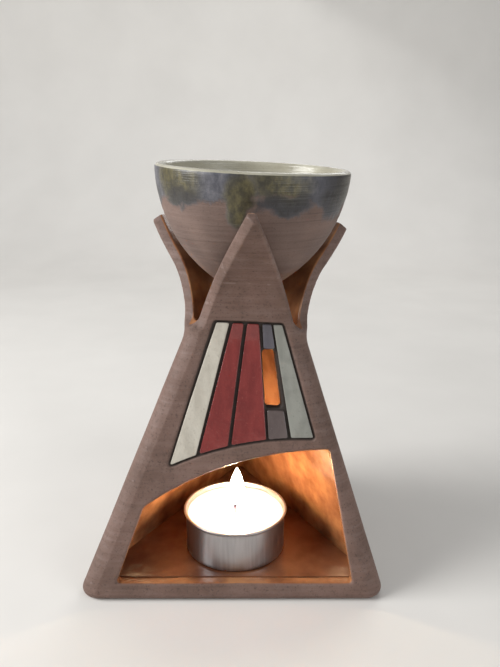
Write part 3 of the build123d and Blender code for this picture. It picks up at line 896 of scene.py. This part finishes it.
def paraffinWax():
    # cast paraffin: pale and cloudy, with a wet pool round the wick
    material, tree, shader, place = startMaterial("castParaffin", 0.3, IOR=1.43)
    shader.inputs["Subsurface Weight"].default_value = 0.6
    shader.inputs["Subsurface Radius"].default_value = (1.0, 0.75, 0.5)
    shader.inputs["Subsurface Scale"].default_value = 3 * mm
    clouds = addNode(tree, "ShaderNodeTexNoise", {"Scale": patternScale(6), "Detail": 3}, {"Vector": place})
    colour = paintOver(tree, "#efe9dc", (clouds, 0.35, 0.65, 1, "#f6f2e8"))
    finishMaterial(tree, shader, colour, (clouds, 0.15))
    return material


def braidedCotton():
    # braided cotton, waxed below and charred above
    material, tree, shader, place = startMaterial("braidedCottonWick", 0.85)
    height = addNode(tree, "ShaderNodeSeparateXYZ", {}, {"Vector": place}, output="Z")
    fibres = addNode(
        tree, "ShaderNodeTexNoise", {"Scale": patternScale(0.5), "Detail": 2}, {"Vector": place})
    low, high = tealight["charred"]
    colour = paintOver(
        tree, "#d8ccb4",
        (height, low * mm, high * mm, 1, "#1a1512"),
        (fibres, 0.5, 0.7, 0.4, "#5a4a3a"),
    )
    finishMaterial(tree, shader, colour, (fibres, 0.1))
    return material


def tinnedSteel():
    # thin tinned steel, stamped: grey and a little dull
    material, tree, shader, place = startMaterial("stampedTinplate", 0.4, Metallic=1.0)
    marks = addNode(tree, "ShaderNodeTexNoise", {"Scale": patternScale(2), "Detail": 2}, {"Vector": place})
    finishMaterial(tree, shader, paintOver(tree, "#8d8f91", (marks, 0.3, 0.7, 1, "#a9abad")))
    return material


def makeTealight():
    top, bead, wall, foot = (tealight[key] for key in ("height", "bead", "wall", "baseRadius"))
    neck = top - 2 * bead
    rim = tealight["radius"] - 2 * bead
    cup = [  # radius and height: pushed-up base, wall, rolled bead, and down inside
        (0, 0.5),
        (9, 0.5),
        (9.6, 0.1),
        (10.2, 0.0),
        (foot - 0.6, 0.0),
        (foot - 0.15, 0.2),
        (foot, 0.7),
        (rim, neck),
        *arcRun((rim + bead, top - bead), bead, -120, 180, 16),
        (rim - wall, neck),
        (foot - wall, 1.2),
        (foot - wall - 0.6, 0.9),
        (0, 0.9),
    ]
    waxTop = top - tealight["belowRim"]
    edge = rim - wall - tealight["waxGap"]
    wax = [  # radius and height: up the wall, where it clings, and in to the pool round the wick
        (0, 1.0),
        (foot - wall - 0.8, 1.0),
        (edge - 0.6, 2.0),
        (edge, waxTop + tealight["cling"]),
        (edge - 0.35, waxTop + 0.45),
        (edge - 0.9, waxTop + 0.2),
        (edge - 2.0, waxTop + 0.04),
        (edge - 4.0, waxTop),
        (6.0, waxTop),
        (4.0, waxTop - 0.12),
        (1.8, waxTop - 0.1),
        (0.9, waxTop + 0.15),
        (0, waxTop + 0.2),
    ]
    base = tealightPlace()
    for name, profile, spacing, material, slot, node in (
        ("pressed_cup", cup, 1.0, pressedAluminium(), "cup", "tealight_cup"),
        ("cast_wax", wax, 0.8, paraffinWax(), "wax", "tealight_wax"),
    ):
        scaled = [(radius * mm, height * mm) for radius, height in divided(profile, spacing)]
        vertices, faces = turned(scaled, tealight["steps"])
        piece = newPiece(name, [Vector(v) + base for v in vertices], faces)
        piece.data.materials.append(material)
        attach(piece, "tealight")
        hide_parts(node)

    for name, material in (("wick", braidedCotton()), ("wick_sustainer", tinnedSteel())):
        nodes[name].data.materials.clear()
        nodes[name].data.materials.append(material)


makeTealight()
print("tealight filled")


# flame: only light, so it stands for no node

flame = dict(
    height=15.0,
    radius=2.9,
    foot=1.0,  # over the cup's rim
    aside=0.6,  # drawn to the right by the air
    belly=0.62,
    fullness=0.85,
    rings=28,
    steps=48,
    blueTo=4,  # over its foot
    paleFrom=(3, 9),
    strength=170.0,
)


def candleFlame():
    # burning wax vapour: blue at the foot, bright yellow above
    material, tree, shader, place = startMaterial("candleFlame", 0.9)
    height = addNode(tree, "ShaderNodeSeparateXYZ", {}, {"Vector": place}, output="Z")
    low = tealightPlace().z + (tealight["height"] + flame["foot"]) * mm
    paleStart, paleFull = flame["paleFrom"]
    glow = paintOver(
        tree, "#5a5fa8",
        (height, low, low + flame["blueTo"] * mm, 1, "#ffc684"),
        (height, low + paleStart * mm, low + paleFull * mm, 1, "#ffe9c0"),
    )
    tree.links.new(glow, shader.inputs["Emission Color"])
    shader.inputs["Emission Strength"].default_value = flame["strength"]
    shader.inputs["Base Color"].default_value = linearFromHex("#ffcf80")
    return material


def makeFlame():
    profile = []
    for k in range(flame["rings"] + 1):
        share = k / flame["rings"]
        swell = math.sin(math.pi * share ** flame["belly"]) ** flame["fullness"] if 0 < share < 1 else 0
        profile.append((flame["radius"] * swell * mm, flame["height"] * share * mm))
    vertices, faces = turned(profile, flame["steps"])
    foot = (tealight["height"] + flame["foot"]) * mm
    base = tealightPlace() + Vector((flame["aside"] * mm, 0, foot))
    piece = newPiece("flame", [Vector(v) + base for v in vertices], faces)
    piece.data.materials.append(candleFlame())
    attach(piece, "tealight")


makeFlame()
print("flame lit")


# stage and light

stage = dict(
    floor="#d9d6d1",
    fleck="#dedbd6",
    front=-1600,  # mm, as all its lengths
    depth=500,  # where the sweep starts to bend up
    bend=260,
    bendSteps=12,
    wall=1400,
    width=2400,
)
lights = dict(
    lamps=dict(  # place in mm, size in mm, watts
        key=((-640, -160, 400), 420, 7.0),
        fill=((560, -520, 240), 500, 2.3),
        back=((200, 560, 520), 420, 1.4),
    ),
    aim=70,  # height in mm that they point at
    world=("#dfe2e6", 0.36),
)


def makeStage():
    depth, bend = stage["depth"], stage["bend"]
    run = [(stage["front"], 0), (depth, 0)]
    for k in range(1, stage["bendSteps"] + 1):
        angle = math.radians(90 * k / stage["bendSteps"])
        run.append((depth + bend * math.sin(angle), bend * (1 - math.cos(angle))))
    run.append((depth + bend, stage["wall"]))
    vertices, faces = [], []
    for y, z in run:
        for x in (-stage["width"], stage["width"]):
            vertices.append((x * mm, y * mm, z * mm))
    for k in range(len(run) - 1):
        faces.append((2 * k, 2 * k + 1, 2 * k + 3, 2 * k + 2))
    paper = newPiece("backdrop", vertices, faces)
    material, tree, shader, place = startMaterial("paperSweep", 0.9)
    fibre = addNode(tree, "ShaderNodeTexNoise", {"Scale": patternScale(60), "Detail": 3}, {"Vector": place})
    finishMaterial(tree, shader, paintOver(tree, stage["floor"], (fibre, 0.3, 0.7, 1, stage["fleck"])))
    paper.data.materials.append(material)


def makeLights():
    target = Vector((0, 0, lights["aim"] * mm))
    for name, (place, size, watts) in lights["lamps"].items():
        data = bpy.data.lights.new(name + "Light", "AREA")
        data.size = size * mm
        data.energy = watts
        obj = bpy.data.objects.new(name + "Light", data)
        obj.location = Vector(place) * mm
        obj.rotation_euler = (target - obj.location).to_track_quat("-Z", "Y").to_euler()
        bpy.context.scene.collection.objects.link(obj)
    world = bpy.data.worlds.new("studio")
    world.use_nodes = True
    ground = world.node_tree.nodes["Background"]
    ground.inputs["Color"].default_value = linearFromHex(lights["world"][0])
    ground.inputs["Strength"].default_value = lights["world"][1]
    bpy.context.scene.world = world


makeStage()
makeLights()
bpy.context.scene.view_settings.view_transform = "Standard"
print("stage lit")
